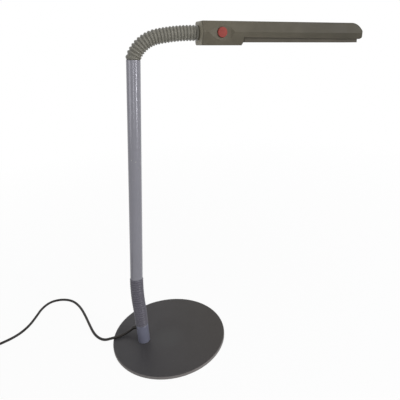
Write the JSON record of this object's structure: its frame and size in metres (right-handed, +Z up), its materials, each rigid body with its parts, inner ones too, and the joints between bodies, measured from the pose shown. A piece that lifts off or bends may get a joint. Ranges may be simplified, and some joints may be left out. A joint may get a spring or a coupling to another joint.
{
  "type": "desk lamp",
  "caption": "Flexible desk lamp: a round flat base, a ribbed neck, a straight pole, a second ribbed neck and a slim fluorescent head with a red push button.",
  "frame": {"origin": "centre of the base's underside, on the table", "axes": "+Z up; +X from the pole's foot towards the head, with the lamp's own plane at Y = 0; -Y is the side with the push button"},
  "size_m": [0.8741, 0.3196, 0.5902],
  "materials": {
    "base_paint": "satin dark grey paint on a steel plate",
    "pad": "thin non-slip foam",
    "steel": "plain zinc-plated steel",
    "pole_paint": "glossy blue-grey paint with small chips",
    "collar_paint": "satin blue-grey paint",
    "sleeve": "soft blue-black ribbed plastic",
    "gooseneck": "wound steel",
    "cord_sheath": "dark brown-black sheath",
    "bush": "moulded nylon",
    "shell": "fine textured grey-brown plastic",
    "rear_shell": "fine textured lighter grey-beige plastic",
    "frame_shell": "fine textured darker plastic",
    "red": "slightly worn red plastic",
    "switch_black": "moulded phenolic",
    "reflector": "bright rolled sheet",
    "tube_glass": "glass with white phosphor inside",
    "white_plastic": "white moulded plastic",
    "brass": "plain brass",
    "plated": "nickel-plated",
    "lead": "blue and brown insulation",
    "plug_case": "fine textured black plastic",
    "copper": "enamelled copper wire"
  },
  "bodies": {
    "base": {"base_plate": "base_paint", "base_pad": "pad", "base_screw": "steel", "collar": "collar_paint", "collar_ferrule": "steel", "collar_cable": "cord_sheath", "cord_relief": "cord_sheath", "mains_cord": "cord_sheath", "cord_coil": "cord_sheath", "cord_tail": "cord_sheath", "plug_relief": "cord_sheath", "plug_lower_case": "plug_case", "plug_upper_case": "plug_case", "plug_screws": "steel", "plug_pins": "plated", "choke_core": "steel", "choke_winding": "copper"},
    "lower_link": {"lower_sleeve": "sleeve", "lower_gooseneck": "gooseneck", "lower_neck_cable": "cord_sheath"},
    "column": {"pole_tube": "pole_paint", "pole_lower_bush": "bush", "pole_upper_bush": "bush", "pole_cable": "cord_sheath"},
    "upper_link": {"upper_sleeve": "sleeve", "upper_gooseneck": "gooseneck", "upper_neck_cable": "cord_sheath"},
    "head": {"rear_cap": "rear_shell", "core_locknut": "steel", "head_cover": "shell", "switch_housing": "shell", "recess_frame": "frame_shell", "reflector": "reflector", "reflector_screws": "steel", "housing_screws": "steel", "twin_tube": "tube_glass", "tube_cap": "white_plastic", "tube_contacts": "brass", "tube_holder": "white_plastic", "tube_clip": "steel", "switch_body": "switch_black", "button_spring": "steel", "terminal_block": "white_plastic", "terminal_screws": "brass", "head_leads": "lead"},
    "push_button": {"button": "red", "button_plunger": "bush"}
  },
  "joints": [
    {"name": "lower_lean", "type": "hinge", "parent": "base", "child": "lower_link", "pos_m": [-0.05035, 0, 0.067], "axis": [0, 1, 0], "range_deg": [-35, 35], "deforming": ["lower_sleeve", "lower_gooseneck", "lower_neck_cable"]},
    {"name": "lower_tilt", "type": "hinge", "parent": "lower_link", "child": "column", "pos_m": [-0.05077, 0, 0.11699], "axis": [1, 0, 0], "range_deg": [-35, 35], "deforming": ["lower_sleeve", "lower_gooseneck", "lower_neck_cable"]},
    {"name": "upper_swing", "type": "hinge", "parent": "column", "child": "upper_link", "pos_m": [-0.00678, 0, 0.53888], "axis": [0.1063, 0, 0.9943], "range_deg": [-75, 75]},
    {"name": "upper_bend", "type": "hinge", "parent": "upper_link", "child": "head", "pos_m": [-0.00243, 0, 0.57963], "axis": [0, 1, 0], "range_deg": [-88, 50], "deforming": ["upper_sleeve", "upper_gooseneck", "upper_neck_cable"]},
    {"name": "button_press", "type": "slide", "parent": "head", "child": "push_button", "axis": [0, 1, 0], "range_m": [0, 0.0025], "stiffness_N_per_m": 400, "springref_m": -0.002, "deforming": ["button_spring"]}
  ]
}
